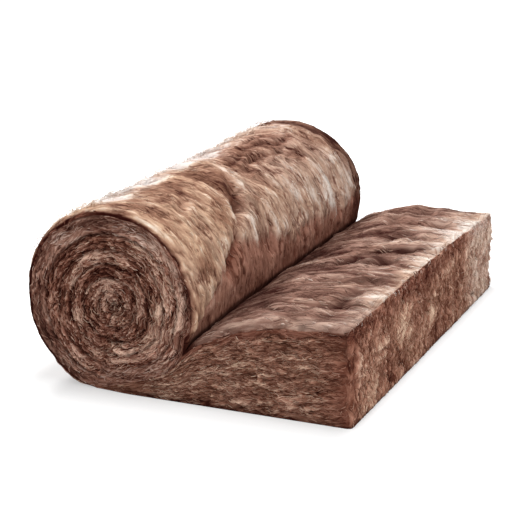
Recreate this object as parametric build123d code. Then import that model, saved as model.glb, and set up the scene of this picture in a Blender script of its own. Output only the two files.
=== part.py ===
"""Mineral wool blanket, wound into a roll and part unrolled, lying on the floor.

One continuous blanket: a roll whose outer turn runs out along the floor and swells to the
wool's full thickness. Millimetres, +Z up, roll axis along Y, cut end towards +X, origin on
the floor under the middle of the whole piece.
"""

from build123d import *

import os
from math import asin, cos, degrees, radians, sin

# Blanket
WIDTH = 1200.0  # across the blanket, along the roll's axis
THICKNESS = 245.0  # of the wool where it lies free
REACH = 634.0  # from the roll's axis to the cut end

# Roll
ROLL_RADIUS = 231.0  # outside of the outer turn
SETTLE = 5.0  # how far the wool's weight flattens it against the floor
TURN = 36.0  # thickness of one wound turn, squeezed by the winding
ROUNDNESS = 2.0  # radius lost at each of the outer turn's first two quarters
TUCK = 24.0  # radius lost where the outer turn dives under the roll
EYE_RADIUS = 16.0  # of the open eye at the middle of the winding

# Crease between the roll and the unrolled wool
CREASE_HEIGHT = 160.0  # of the bottom of the crease above the floor
SWELL_RUN = 260.0  # from the crease to where the wool is at its full thickness

# Edges, and the gap between turns where it shows on an end
RIM_BEVEL = 10.0  # broken edge of the two cut sides, all round the outline
CUT_ROUND = 22.0  # soft rounding along the top of the cut end
GAP_WIDTH = 7.0
GAP_DEPTH = 16.0

# Main furrows in the wool, each as a round bar pressed in along the blanket would leave it
FURROW_ROUND = 60.0  # radius of a furrow's bottom, across the blanket
FURROW_DEPTH = 14.0
ROLL_FURROWS = (  # angle round the roll from its right side, place as a share of the half width
    (20, -0.58), (18, -0.14), (16, 0.15), (18, 0.41), (19, 0.69), (54, -0.33), (68, 0.01), (66, 0.24),
    (68, 0.52), (63, 0.80), (98, -0.74), (106, -0.46), (104, -0.16), (107, 0.14), (105, 0.38),
    (106, 0.68), (146, -0.62), (148, -0.30), (147, 0.02), (149, 0.28), (146, 0.56), (148, 0.82),
    (192, -0.78), (190, -0.46), (191, -0.12), (189, 0.16), (191, 0.42), (190, 0.70),
)
TOP_FURROWS = (-0.72, -0.39, -0.11, 0.08, 0.36, 0.60, 0.84)  # shares of the half width

QUARTER = 90.0
FOOT_ANGLE = -90.0  # the winding starts at the foot and runs clockwise, seen from -Y
HALF_WIDTH = WIDTH / 2


def winding():
    """Quarter-turn arcs (centre, radius, start angle), from the foot inwards to the eye.

    Each arc is a step smaller than the one before and shares its end point and tangent.
    """
    radius = ROLL_RADIUS
    centre = Vector(0, ROLL_RADIUS - SETTLE)
    angle = FOOT_ANGLE
    arcs = [(centre, radius, angle)]
    steps = [ROUNDNESS, ROUNDNESS, TUCK]
    while steps or radius > EYE_RADIUS + TURN / 4:
        step = steps.pop(0) if steps else TURN / 4
        angle -= QUARTER
        radius -= step
        centre += Vector(cos(radians(angle)), sin(radians(angle))) * step
        arcs.append((centre, radius, angle))
    return arcs


def arc_edge(arc, first=0.0, last=QUARTER):
    """A quarter-turn arc, or the part of it between two angles measured along it."""
    centre, radius, start = arc
    return CenterArc(centre, radius, start - first, first - last)


ARCS = winding()
TUCK_CENTRE, TUCK_RADIUS, _ = ARCS[3]
CREASE_TURN = degrees(asin((TUCK_CENTRE.Y - CREASE_HEIGHT) / TUCK_RADIUS))
CREASE = TUCK_CENTRE + Vector(1, 0).rotate(Axis.Z, -CREASE_TURN) * TUCK_RADIUS
SWELL_RISE = THICKNESS - CREASE_HEIGHT
SWELL_RADIUS = (SWELL_RUN**2 + SWELL_RISE**2) / (2 * SWELL_RISE)
SWELL_TURN = degrees(asin(SWELL_RUN / SWELL_RADIUS))


def across_width(outline):
    """Carries an X-Z outline over the blanket's width and bevels both cut sides."""
    solid = extrude(Plane.XZ * make_face(outline), HALF_WIDTH, both=True)
    sides = solid.faces().filter_by(Axis.Y)
    return chamfer(sides.edges(), RIM_BEVEL)


def furrow_bar(centre, radius, angle, share, length):
    """A bar laid along the blanket, pressed into a skin of this radius at an angle round it."""
    out = Vector(cos(radians(angle)), 0, sin(radians(angle)))
    origin = Vector(centre.X, share * HALF_WIDTH, centre.Y) + out * (radius + FURROW_ROUND - FURROW_DEPTH)
    along = out.rotate(Axis.Y, QUARTER)
    return Plane(origin, z_dir=along) * Cylinder(FURROW_ROUND, length)


def make_roll():
    """The wound roll, carried down to the floor inside the wool it is unrolled from."""
    foot = arc_edge(ARCS[0]) @ 0
    outer = [arc_edge(arc) for arc in ARCS[:3]]
    outer.append(arc_edge(ARCS[3], last=(CREASE_TURN + QUARTER) / 2))
    joined = outer[-1] @ 1
    corner = (joined.X, foot.Y)
    roll = across_width(outer + [Line(joined, corner), Line(corner, foot)])
    bars = []
    for angle, share in ROLL_FURROWS:
        centre, radius, _ = ARCS[int((FOOT_ANGLE + 4 * QUARTER - angle) // QUARTER)]
        bars.append(furrow_bar(centre, radius, angle, share, ROLL_RADIUS))
    return roll - bars


def make_unrolled():
    """The free stretch, from inside the roll out to the cut end."""
    full_x = CREASE.X + SWELL_RUN
    swell_centre = (full_x, THICKNESS - SWELL_RADIUS)
    swell = CenterArc(swell_centre, SWELL_RADIUS, QUARTER, SWELL_TURN + degrees(TURN / SWELL_RADIUS))
    joined = swell @ 1
    back, low_back, low_front = (TUCK_CENTRE.X, joined.Y), (TUCK_CENTRE.X, -SETTLE), (REACH, -SETTLE)
    cut_centre = Vector(REACH - CUT_ROUND, THICKNESS - CUT_ROUND)
    cut = CenterArc(cut_centre, CUT_ROUND, 0, QUARTER)
    unrolled = across_width(
        [
            Line(low_back, low_front),
            Line(low_front, cut @ 0),
            cut,
            Line(cut @ 1, swell @ 0),
            swell,
            Line(joined, back),
            Line(back, low_back),
        ]
    )
    above = Vector(REACH, THICKNESS)
    return unrolled - [furrow_bar(above, 0, QUARTER, share, 2 * REACH) for share in TOP_FURROWS]


def make_turn_gap():
    """The spiral gap between turns, from its round mouth at the crease into the eye."""
    eye_centre, eye_turn, angle = ARCS[-1]
    turns = [arc_edge(ARCS[3], first=CREASE_TURN)] + [arc_edge(arc) for arc in ARCS[4:]]
    middle = (turns[-1] @ 1 + eye_centre) / 2
    turns.append(CenterArc(middle, eye_turn / 2, angle - QUARTER, -2 * QUARTER))
    gap = trace(turns, line_width=GAP_WIDTH)
    return gap + Pos(CREASE) * Circle(GAP_WIDTH) + Pos(eye_centre) * Circle(EYE_RADIUS)


def make_blanket():
    """Roll and free stretch as one piece, flat on the floor, its turns open at both ends."""
    blanket = make_roll() + make_unrolled()
    gap = extrude(Plane.XZ * make_turn_gap(), GAP_DEPTH)
    blanket -= Pos(0, GAP_DEPTH - HALF_WIDTH, 0) * gap
    blanket -= Pos(0, HALF_WIDTH, 0) * gap
    blanket = split(blanket, Plane.XY, keep=Keep.TOP)
    return Pos((ROLL_RADIUS - REACH) / 2, 0, 0) * blanket


os.makedirs("parts", exist_ok=True)
export_step(make_blanket(), "parts/wool_blanket.step")
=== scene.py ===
"""Brown mineral wool blanket, wound into a roll and part unrolled on a pale floor.

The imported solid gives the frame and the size. This script clothes it in wool: one closed
body with lumps, folds, laminations and the spiral of the turns, and loose fibres sown over
each of its faces.
"""

import logging
import math
from dataclasses import dataclass, field
from enum import IntEnum

import bmesh
import bpy
import numpy as np
from mathutils import Matrix


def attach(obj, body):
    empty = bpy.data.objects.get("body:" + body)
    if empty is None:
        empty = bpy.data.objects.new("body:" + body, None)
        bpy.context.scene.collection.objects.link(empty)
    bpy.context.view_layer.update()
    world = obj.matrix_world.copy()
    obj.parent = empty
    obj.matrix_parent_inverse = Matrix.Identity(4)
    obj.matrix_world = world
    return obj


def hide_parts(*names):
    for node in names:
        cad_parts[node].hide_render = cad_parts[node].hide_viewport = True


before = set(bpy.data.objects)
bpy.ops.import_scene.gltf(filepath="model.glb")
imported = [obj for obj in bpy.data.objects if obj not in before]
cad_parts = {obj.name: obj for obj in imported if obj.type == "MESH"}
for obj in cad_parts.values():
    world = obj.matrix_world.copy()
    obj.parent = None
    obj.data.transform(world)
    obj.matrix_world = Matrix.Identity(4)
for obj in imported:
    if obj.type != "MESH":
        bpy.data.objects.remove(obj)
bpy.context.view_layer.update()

LOG = logging.getLogger("insulation_roll")
Array = np.ndarray


class Tone(IntEnum):
    """Channels of the tone attribute that the wool finishes read."""

    SHADE = 0  # from dark to pale within a face's own colours
    CUT = 1  # 0 on a skin, 1 on a cut face
    # The crevice channel is painted shade: dark laid into crevices, creases, slits, pits and the line along
    # the floor
    GAP = 2  # dark of a crevice
    RED = 3  # redder wool
    NAP = 4  # strength of the grain


def unit(x: Array) -> Array:
    """Values held between 0 and 1."""
    return np.clip(x, 0.0, 1.0)


def smooth(x: Array) -> Array:
    """Smooth step from 0 at x = 0 to 1 at x = 1."""
    t = unit(x)
    return t * t * (3.0 - 2.0 * t)


def ramp(x: Array, start: float, span: float) -> Array:
    """Smooth step from 0 at a start to 1 a span further on; a negative span turns it round."""
    return smooth((x - start) / span)


def bell(x: Array, middle: float, width: float) -> Array:
    """Bell of height 1 about a middle."""
    return np.exp(-(((x - middle) / width) ** 2))


def puff(n: Array) -> Array:
    """Soft lumps between sharp creases, from noise: a rounded absolute value about its mean."""
    return np.sqrt(n * n + 0.004) - 0.33


def crevice(lumps: Array, level: float, span: float) -> Array:
    """Painted shade between puffed lumps: 0 above minus a level, 1 from a span lower."""
    return unit((-level - lumps) / span)


def off_line(a: Array, b: Array, start: tuple[float, float], end: tuple[float, float]) -> Array:
    """Distance of points from the line between two points.

    Args:
        a: First coordinate of the points.
        b: Their second coordinate.
        start: One end of the line.
        end: Its other end.

    Returns:
        The distances.
    """
    run = np.subtract(end, start)
    t = unit(((a - start[0]) * run[0] + (b - start[1]) * run[1]) / (run @ run))
    return np.hypot(a - start[0] - t * run[0], b - start[1] - t * run[1])


def linear(red: int, green: int, blue: int) -> tuple[float, float, float, float]:
    """Scene-linear colour of an 8-bit display colour.

    Args:
        red: Red, 0 to 255.
        green: Green, 0 to 255.
        blue: Blue, 0 to 255.

    Returns:
        Red, green, blue and a full alpha.
    """
    parts = [v / 255.0 for v in (red, green, blue)]
    r, g, b = (v / 12.92 if v <= 0.04045 else ((v + 0.055) / 1.055) ** 2.4 for v in parts)
    return (r, g, b, 1.0)


@dataclass(frozen=True)
class Noise:
    """Seeded gradient noise on a plane, about -1 to 1."""

    seed: int

    def _slope(self, i: Array, j: Array, dx: Array, dy: Array) -> Array:
        """Height above a lattice point of the plane that slopes in a hashed direction.

        Args:
            i: First index of the lattice point.
            j: Its second index.
            dx: First offset from it.
            dy: Second offset from it.

        Returns:
            The heights.
        """
        h = (i * 73856093) ^ (j * 19349663) ^ (self.seed * 83492791)
        for _ in range(2):
            h = ((h ^ (h >> 15)) * 0x2C1B3C6D) & 0xFFFFFFFF
        turn = h * (math.tau / 2**32)
        return np.cos(turn) * dx + np.sin(turn) * dy

    def at(self, x: Array, y: Array) -> Array:
        """Blends the four nearest lattice slopes with a quintic fade.

        Args:
            x: First coordinate, in lattice steps.
            y: Second coordinate, in lattice steps.

        Returns:
            The noise, same shape as the inputs.
        """
        x, y = np.broadcast_arrays(np.asarray(x, float), np.asarray(y, float))
        i, j = np.floor(x).astype(np.int64), np.floor(y).astype(np.int64)
        u, v = x - i, y - j
        fu, fv = (w**3 * (w * (w * 6.0 - 15.0) + 10.0) for w in (u, v))
        low = self._slope(i, j, u, v) * (1 - fu) + self._slope(i + 1, j, u - 1, v) * fu
        high = self._slope(i, j + 1, u, v - 1) * (1 - fu)
        high += self._slope(i + 1, j + 1, u - 1, v - 1) * fu
        return 1.5 * (low * (1 - fv) + high * fv)


def noise(seed: int, x: Array, y: Array, count: int = 2) -> Array:
    """Sum of noises, each twice as fine and half as high as the one before.

    Args:
        seed: Seed of the first noise.
        x: First coordinate, in lattice steps.
        y: Second coordinate, in lattice steps.
        count: Number of noises.

    Returns:
        The sum.
    """
    total = np.zeros(np.broadcast(x, y).shape)
    for k in range(count):
        total = total + Noise(seed + 31 * k).at(x * 2.0**k, y * 2.0**k) / 2.0**k
    return total


@dataclass(frozen=True)
class Fold:
    """A crease pressed into a skin along a short line on the blanket, with shade painted into it."""

    start: tuple[float, float]
    end: tuple[float, float]
    width: float
    depth: float
    dark: float

    def press(self, a: Array, b: Array) -> tuple[Array, Array]:
        """Depth and painted shade: a bell across the line, with low lips on both sides.

        Args:
            a: Coordinate along the blanket.
            b: Coordinate across the blanket.

        Returns:
            Height change and painted shade at each point.
        """
        off = off_line(a, b, self.start, self.end) / self.width
        dip, lip = bell(off, 0, 1), bell(off, 2.2, 1)
        return self.depth * (0.35 * lip - dip), self.dark * dip


def press_all(rows: tuple, a: Array, b: Array) -> tuple[Array, Array]:
    """Height change of a table of folds together, and the darkest painted shade of them at each point."""
    pressed = [Fold(row[:2], row[2:4], *row[4:]).press(a, b) for row in rows]
    return sum(down for down, _ in pressed), np.max([dark for _, dark in pressed], 0)


@dataclass
class Patch:
    """One face of the wool as a grid: first axis along the fibres, second across them."""

    place: Array
    tone: Array
    grain: Array

    def normals(self, outward: Array) -> Array:
        """Unit normals of the grid, turned to the side that a rough direction gives.

        Args:
            outward: One direction, or one for each point.

        Returns:
            The normals.
        """
        n = np.cross(np.gradient(self.place, axis=0), np.gradient(self.place, axis=1))
        n /= np.maximum(np.linalg.norm(n, axis=2, keepdims=True), 1e-12)
        return n * np.sign((n * outward).sum(2, keepdims=True) + 1e-9)

    def part(self, first: int, last: int) -> "Patch":
        """The stretch of the grid between two indices of its first axis."""
        cut = slice(first, last)
        return Patch(self.place[cut], self.tone[cut], self.grain[cut])

    def closed(self) -> "Patch":
        """The grid with its first line repeated at the end, to close a ring."""
        return Patch(*(np.concatenate((g, g[:1])) for g in (self.place, self.tone, self.grain)))


def blend(grid: Array, i: Array, j: Array) -> Array:
    """Bilinear reading of a grid at fractional indices, held at its edges.

    Args:
        grid: Values on the grid.
        i: Indices along its first axis.
        j: Indices along its second axis.

    Returns:
        The values there.
    """
    i = np.clip(i, 0.0, grid.shape[0] - 1.001)
    j = np.clip(j, 0.0, grid.shape[1] - 1.001)
    a, b = i.astype(int), j.astype(int)
    u, v = (i - a)[..., None], (j - b)[..., None]
    near = grid[a, b] * (1 - v) + grid[a, b + 1] * v
    return near * (1 - u) + (grid[a + 1, b] * (1 - v) + grid[a + 1, b + 1] * v) * u


def quads(rows: int, cols: int, first: int) -> Array:
    """Corner indices of the cells of a grid whose points start at an index.

    Args:
        rows: Points along the first axis.
        cols: Points along the second axis.
        first: Index of the first point.

    Returns:
        Four corners for each cell.
    """
    k = first + np.arange(rows * cols).reshape(rows, cols)
    cells = (k[:-1, :-1], k[1:, :-1], k[1:, 1:], k[:-1, 1:])
    return np.stack(cells, -1).reshape(-1, 4)


ROLL_RADIUS = 0.229  # of the skin that lengths round the roll are measured on
SWELL_RADIUS = 0.440  # of the arc by which the solid's free stretch rises
SWELL_END = 0.2718  # place along the blanket where that arc runs level
EYE_RADIUS = 0.012  # of the middle of the winding

# Folds in the skins: start and end (along, across), width, depth and darkness, the shade painted
# into the crease. Along is in degrees round the roll, and in metres on the free stretch.
ROLL_FOLDS = tuple(
    (math.radians(a) * ROLL_RADIUS, b, math.radians(c) * ROLL_RADIUS, d, *rest)
    for a, b, c, d, *rest in (
        (38, -0.240, 46, -0.185, 0.014, 0.009, 0.9), (45, -0.185, 56, -0.135, 0.022, 0.013, 0.95),
        (56, -0.135, 67, -0.095, 0.016, 0.008, 0.7), (66, 0.04, 74, 0.13, 0.010, 0.006, 0.5),
        (73, 0.10, 68, 0.27, 0.008, 0.005, 0.6), (78, 0.02, 82, 0.12, 0.008, 0.005, 0.7),
        (85, 0.15, 81, 0.29, 0.010, 0.006, 0.8), (79, 0.26, 73, 0.41, 0.008, 0.005, 0.6),
        (92, 0.26, 88, 0.37, 0.009, 0.006, 0.75), (97, 0.10, 93, 0.20, 0.008, 0.005, 0.6),
        (27, -0.29, 10, -0.385, 0.018, 0.008, 0.55), (18, 0.06, -8, 0.07, 0.011, 0.008, 0.6),
        (16, 0.23, -8, 0.24, 0.011, 0.008, 0.6), (8, 0.14, -10, 0.15, 0.009, 0.007, 0.5),
        (12, 0.41, -8, 0.41, 0.010, 0.008, 0.5), (62, -0.43, 66, -0.37, 0.014, 0.007, 0.3),
        (24, -0.50, 14, -0.47, 0.007, 0.003, 0.15), (120, -0.30, 118, 0.02, 0.018, 0.008, 0.3),
        (150, 0.10, 146, 0.38, 0.022, 0.010, 0.4), (170, -0.45, 166, -0.18, 0.020, 0.009, 0.4),
        (205, -0.10, 203, 0.20, 0.018, 0.008, 0.4),
    )
)
TOP_FOLDS = (
    (0.120, 0.055, 0.171, 0.041, 0.010, 0.004, 0.8), (0.171, 0.041, 0.213, 0.037, 0.011, 0.006, 1.6),
    (0.213, 0.037, 0.284, 0.080, 0.011, 0.007, 1.9), (0.284, 0.080, 0.344, 0.075, 0.012, 0.007, 1.6),
    (0.344, 0.075, 0.402, 0.100, 0.010, 0.006, 0.8), (0.208, 0.217, 0.309, 0.229, 0.010, 0.009, 0.9),
    (0.149, -0.073, 0.229, -0.040, 0.007, 0.005, 0.9), (0.229, -0.040, 0.284, -0.017, 0.007, 0.005, 0.8),
    (0.165, -0.193, 0.254, -0.175, 0.009, 0.006, 0.8), (0.220, -0.235, 0.300, -0.240, 0.012, 0.008, 0.45),
    (0.300, -0.240, 0.360, -0.215, 0.011, 0.007, 0.1), (0.190, -0.055, 0.270, -0.070, 0.013, 0.008, 0.8),
    (0.270, -0.070, 0.330, -0.030, 0.011, 0.008, 0.45), (0.250, 0.165, 0.285, 0.265, 0.024, 0.009, 0.45),
    (0.190, 0.245, 0.225, 0.255, 0.014, 0.008, 0.5), (0.205, 0.355, 0.180, 0.460, 0.016, 0.009, 0.5),
    (0.240, 0.500, 0.250, 0.560, 0.022, 0.008, 0.4), (0.260, -0.490, 0.285, -0.440, 0.014, 0.007, 0.4),
    (0.330, -0.420, 0.345, -0.330, 0.020, 0.008, 0.85), (0.330, -0.555, 0.345, -0.500, 0.018, 0.006, 0.3),
    (0.320, 0.150, 0.350, 0.215, 0.012, 0.007, 0.35), (0.335, 0.375, 0.340, 0.430, 0.018, 0.007, 0.35),
    (0.130, -0.440, 0.190, -0.500, 0.018, 0.006, 0.35),
)

# Main furrows of the solid: degrees and share of the half width, and shares alone
ROLL_FURROWS = (
    (20, -0.58), (18, -0.14), (16, 0.15), (18, 0.41), (19, 0.69), (54, -0.33), (68, 0.01), (66, 0.24),
    (68, 0.52), (63, 0.80), (98, -0.74), (106, -0.46), (104, -0.16), (107, 0.14), (105, 0.38),
    (106, 0.68), (146, -0.62), (148, -0.30), (147, 0.02), (149, 0.28), (146, 0.56), (148, 0.82),
    (192, -0.78), (190, -0.46), (191, -0.12), (189, 0.16), (191, 0.42), (190, 0.70),
)
TOP_FURROWS = (-0.72, -0.39, -0.11, 0.08, 0.36, 0.60, 0.84)
FURROW_DEPTH, FURROW_ROUND = 0.014, 0.060
FURROW_SOFT = 0.003  # softening of a furrow's edges

# Edge of the near lobe: degrees round the roll, place across
LOBE_EDGE = (
    (-17, 5, 18, 30, 45, 53, 61, 72, 90, 258),
    (-0.40, -0.40, -0.33, -0.30, -0.24, -0.165, -0.12, -0.08, -0.02, 0.05),
)
# Top of the slack band: place across, degrees round the roll
SLACK_TOP = (
    (-0.6, -0.56, -0.52, -0.48, -0.44, -0.4, -0.35, -0.31, -0.28)
    + (-0.2, -0.1, 0.0, 0.1, 0.2, 0.3, 0.4, 0.5, 0.6),
    (-12, -8, 0, 6, 12, 15, 21, 28, 28, 20, 16, 11, 9, 10, 7, 4, 6, 8),
)


def furrow(fall: Array, across: Array) -> Array:
    """Depth of a round-bottomed furrow, less by how far the skin falls away along it."""
    depth = FURROW_DEPTH - fall - across**2 / (2 * FURROW_ROUND)
    return 0.5 * (depth + np.hypot(depth, FURROW_SOFT))


@dataclass
class WoolBody:
    """The whole blanket as one closed surface, metres."""

    half: float = 0.6  # half the width
    thickness: float = 0.245  # of the free wool, for the grain on its sides
    axis_x: float = -0.2015  # the roll's axis
    axis_z: float = 0.226
    reach: float = 0.4325  # x of the cut end
    foot_deg: float = 258.5  # angle round the roll where it meets the floor
    crease_radius: float = 0.224  # of the roll at the crease
    swell_run: float = 0.262  # from the crease to where the wool is at its full thickness
    crease_pull: tuple[float, float] = (0.011, 0.017)  # how far the crease is drawn in and down
    tuck_centre: tuple[float, float] = (-0.1795, 0.228)  # of the arc in under the roll
    tuck_radius: float = 0.199
    tuck_deg: tuple[float, float] = (-19.0, -77.0)
    eye: tuple[float, float] = (-0.1945, 0.2205)  # middle of the winding
    turn: float = 0.036  # thickness of a wound turn
    foot_turn: float = 0.030  # thickness of the outer turn under the roll
    rim: float = 0.017  # size of the rounding at both rims
    roll_cols: int = 164  # grid lines round the roll, then along the other faces
    top_cols: int = 74
    cut_cols: int = 56
    tuck_cols: int = 26
    rows: int = 176  # grid lines across the width, without the rims
    rim_rows: int = 5
    rings: tuple[int, int] = (78, 40)  # of the near and the far disc
    join_within: float = 2e-5  # distance within which points are made one
    skin: Patch = field(init=False)
    discs: list[Patch] = field(init=False)
    sides: list[Patch] = field(init=False)

    def crease_height(self, y: Array) -> Array:
        """Height of the crease: low at the near end, higher over the middle."""
        return 0.146 + 0.020 * ramp(y, -0.6, 0.32) - 0.004 * ramp(y, 0.3, 0.3)

    def free_height(self, x: Array, y: Array) -> Array:
        """Thickness of the free wool, from the mid stretch out to the cut end.

        Args:
            x: Place along the blanket.
            y: Place across the blanket.

        Returns:
            The thickness.
        """
        across = (-0.6, -0.27, 0.0, 0.16, 0.46, 0.6)
        middle = np.interp(y, across, (0.239, 0.240, 0.240, 0.239, 0.235, 0.232))
        end = np.interp(y, across, (0.249, 0.253, 0.252, 0.250, 0.238, 0.228))
        return middle + (end - middle) * ramp(x, 0.20, 0.24)

    def outline(self, y: Array) -> tuple[Array, Array, Array]:
        """Plain outline at each row: arc of the roll, swelling top, upright cut end.

        Args:
            y: Row positions across the blanket, shape (1, rows).

        Returns:
            x, z and the roll's angle in degrees, each (columns, rows).
        """
        low = self.crease_height(y)
        end_deg = -np.degrees(np.arcsin((self.axis_z - low) / self.crease_radius))
        t = np.linspace(0.0, 1.0, self.roll_cols)[:, None]
        deg = self.foot_deg + t * (end_deg - self.foot_deg)
        radius = np.interp(deg, (-18, 0, 90, 180, 258.5), (0.2245, 0.2265, 0.2290, 0.2305, 0.2306))
        x_roll = self.axis_x + radius * np.cos(np.radians(deg))
        z_roll = np.maximum(self.axis_z + radius * np.sin(np.radians(deg)), 0.0)
        t = (np.arange(1, self.top_cols + 1) / self.top_cols)[:, None]
        x_top = x_roll[-1:] + t * (self.reach - x_roll[-1:])
        full = self.free_height(x_top, y)
        rise, run = full - low, self.swell_run
        swell = (run**2 + rise**2) / (2 * rise)
        short = np.maximum(x_roll[-1:] + run - x_top, 0.0)
        z_top = full - swell + np.sqrt(swell**2 - short**2)
        t = (np.arange(1, self.cut_cols + 1) / self.cut_cols)[:, None]
        z_cut = z_top[-1:] * (1 - t)
        x = np.concatenate((x_roll, x_top, np.full_like(z_cut, self.reach)))
        z = np.concatenate((z_roll, z_top, z_cut))
        corner = self.roll_cols + self.top_cols - 1
        near = np.arange(corner - 6, corner + 7)
        for v in (x, z) * 5:
            v[near] = 0.25 * v[near - 1] + 0.5 * v[near] + 0.25 * v[near + 1]
        pad = np.full((self.top_cols + self.cut_cols, deg.shape[1]), -90.0)
        return x, z, np.concatenate((deg, pad))

    def roll_relief(self, deg: Array, y: Array) -> tuple[Array, Array]:
        """Skin of the roll: puffed wrinkles round the roll, a thick near lobe, folds and a sag.

        The height adds up noises stretched round the roll and the lobe's thickness, less the sag,
        the furrows and the folds. The shade adds up the same noises, so crests are paler and creases darker,
        in part as painted shade, and soft bands by angle and place, several of them painted light and shade.

        Args:
            deg: Angle round the roll.
            y: Place across the blanket.

        Returns:
            Height of the relief and its tone channels.
        """
        a = np.radians(deg) * ROLL_RADIUS
        warp = noise(3, a * 9, y * 9)
        wander = 0.016 * warp
        # Slack band low on the roll, and the thick lobe at the near end
        edge, sag_at = np.interp(deg, *LOBE_EDGE), np.interp(y, *SLACK_TOP)
        fingers = noise(18, a * 3, (y + 0.1 * a) * 42)
        sag = smooth((sag_at + 4 + warp * 4 + fingers * 5 - deg) / 8.0) * ramp(deg, -60, 20)
        lobe = (1.0 - smooth((y - edge + wander * 2.5) / 0.07 + 0.5)) * (1 - 0.85 * sag)
        # Furrows of the solid, at places that wander
        offs = (
            (a + wander - ROLL_RADIUS * math.radians(d), y + 0.7 * wander - self.half * s)
            for d, s in ROLL_FURROWS
        )
        pressed = np.max([furrow(along**2 / (2 * ROLL_RADIUS), across) for along, across in offs], 0)
        # Wrinkles, from broad to fine
        big = noise(5, a * 5, y * 6.5)
        ridge = puff(noise(6, a * 2.4 + 0.4 * warp, (y + 0.08 * a) * 21 + 0.6 * warp))
        wrinkle = puff(noise(7, a * 4.6 + 0.5 * warp, (y + 0.22 * a) * 17 + 0.45 * warp))
        quilt = noise(14, a * 9 + 0.5 * warp, (y + 0.12 * a) * 17)
        fine = puff(noise(8, a * 11 + 0.7 * warp, (y + 0.12 * a) * 40 + 0.45 * warp))
        streaks = noise(9, a * 18, y * 95 + a * 14)
        low = bell(deg, 22, 24) * (1 - lobe)
        settled = bell(deg, 243, 15)
        height = 0.007 * lobe - 0.006 * sag - pressed + 0.004 * big + 0.006 * ridge * (0.5 + low)
        height = height + 0.006 * (settled + wrinkle) + 0.002 * fine + 0.001 * streaks + 0.004 * quilt * lobe
        wander = wander + 0.005 * noise(16, a * 30, y * 34)
        down, dark = press_all(ROLL_FOLDS, a + wander, y + 0.7 * wander)
        # Bands of tone by angle and place, several of them painted light and shade
        far_rim = smooth((y - 0.505 + 0.018 * noise(10, a * 22, y * 30)) / 0.06)
        far = ramp(y, -0.05, 0.35)
        # Crown: painted highlight, the top-left of the roll made pale and greyer through the redness channel
        crown = ramp(deg, 85, 22) * ramp(deg, 142, -20) * ramp(y, -0.54, 0.1) * ramp(y, 0.35, -0.3)
        patch = noise(13, a * 7 + 0.4 * warp, y * 9, 3)
        smear = smooth((noise(15, a * 13 + 0.5 * warp, (y + 0.1 * a) * 36) - 0.22) / 0.35)
        # Brow and shaded: painted shade that darkens the top of the roll against the lamp above
        brow = bell(deg, 82, 13)
        shaded = brow * ramp(y, -0.04, 0.12) * ramp(y, 0.5, -0.14)
        # Shoulder: painted shade over the lobe's shoulder, which the lamps light
        shoulder = bell(deg, 58, 12) * np.maximum(ramp(y, -0.04, 0.08), 1.9 * lobe * ramp(y, -0.31, 0.06))
        lit = bell(deg, 22, 13) * ramp(y, 0.02, 0.08)
        # Deep: painted shade low on the roll along the crease
        deep = ramp(deg, 8, -22) * ramp(y, -0.50, 0.18)
        # Back: painted shade on the back of the roll, against the key lamp's light there
        back = ramp(deg, 122, 24)
        # Shade, redness, torn wool and dark slits
        shade = 0.20 * wrinkle + 0.17 * fine + 0.14 * streaks + 0.05 * big + 0.20 * patch
        shade = shade + 0.16 * quilt * lobe + 0.30 * ridge * (0.35 + low)
        shade = shade + 0.20 * smear * (0.25 + 0.75 * lobe)
        shade = 0.59 - 0.20 * back + shade * (1 - 0.45 * sag) + 0.05 * far - 0.25 * far_rim
        shade = shade + 0.42 * crown - 0.26 * brow * lobe - 0.25 * shaded - 0.13 * shoulder
        shade = shade - 0.02 * lobe + 0.09 * lit - 0.08 * deep - sag * (0.04 - 0.10 * ramp(y, -0.31, -0.14))
        # Painted shade in the furrows, turned to painted light on the lobe, and the folds' painted shade
        shade = shade - 7.0 * pressed * (1 - crown) * (1 - 1.7 * lobe) - 0.36 * dark
        red = unit(0.42 + 0.5 * sag - 0.32 * lobe + 0.22 * far + 0.9 * crown + 0.25 * patch)
        # Torn wool's colour, also laid on the folds and the shaded band as painted shade
        torn = unit(0.82 * sag + 0.9 * dark * lobe + 0.4 * dark + 0.4 * far_rim + 0.2 * shaded)
        slit = 0.12 * crevice(fine, 0.20, 0.10) + 0.34 * crevice(wrinkle, 0.215, 0.04)
        gap = unit(0.18 * dark**2 + slit * (1 - 0.6 * sag) + 0.05 * deep + 0.50 * far_rim)
        return height + down, np.stack((shade, torn, gap, red, 0.95 - 0.3 * sag - 0.2 * lobe), -1)

    def top_relief(self, x: Array, y: Array) -> tuple[Array, Array]:
        """Skin of the free stretch: puffed folds towards the cut end, with painted light paler at its lip.

        The height adds up noises stretched along the blanket, less the furrows and the folds, and is
        lower at the near rim. The shade follows the same noises, crests paler and creases darker in part as
        painted shade, and grows paler towards the cut end as painted light.

        Args:
            x: Place along the blanket.
            y: Place across the blanket.

        Returns:
            Height of the relief and its tone channels.
        """
        warp = noise(17, x * 11, y * 11)
        wander = 0.012 * warp
        big = noise(19, x * 5 + 3, y * 7.5, 3)
        # Furrows of the solid, which run out where the skin falls away
        short = np.clip(SWELL_END - x, 0.0, 0.43)
        fall = SWELL_RADIUS - np.sqrt(SWELL_RADIUS**2 - short**2)
        pressed = np.max([furrow(fall, y + wander - self.half * s) for s in TOP_FURROWS], 0)
        # Folds, from broad to fine
        folds = puff(noise(23, x * 2.6 + 0.3 * warp, (y - 0.10 * x) * 13 + 0.30 * warp))
        fine = puff(noise(24, x * 4 + 0.3 * warp, (y - 0.05 * x) * 30 + 0.30 * warp))
        streaks = noise(29, x * 8, (y + 0.4 * wander) * 60)
        down, dark = press_all(TOP_FOLDS, x, y + 0.35 * wander)
        height = 0.007 * big - pressed + 0.005 * folds + 0.003 * fine + 0.001 * streaks + down
        height = height * (0.4 + 0.6 * ramp(y, -0.6, 0.14))
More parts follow.
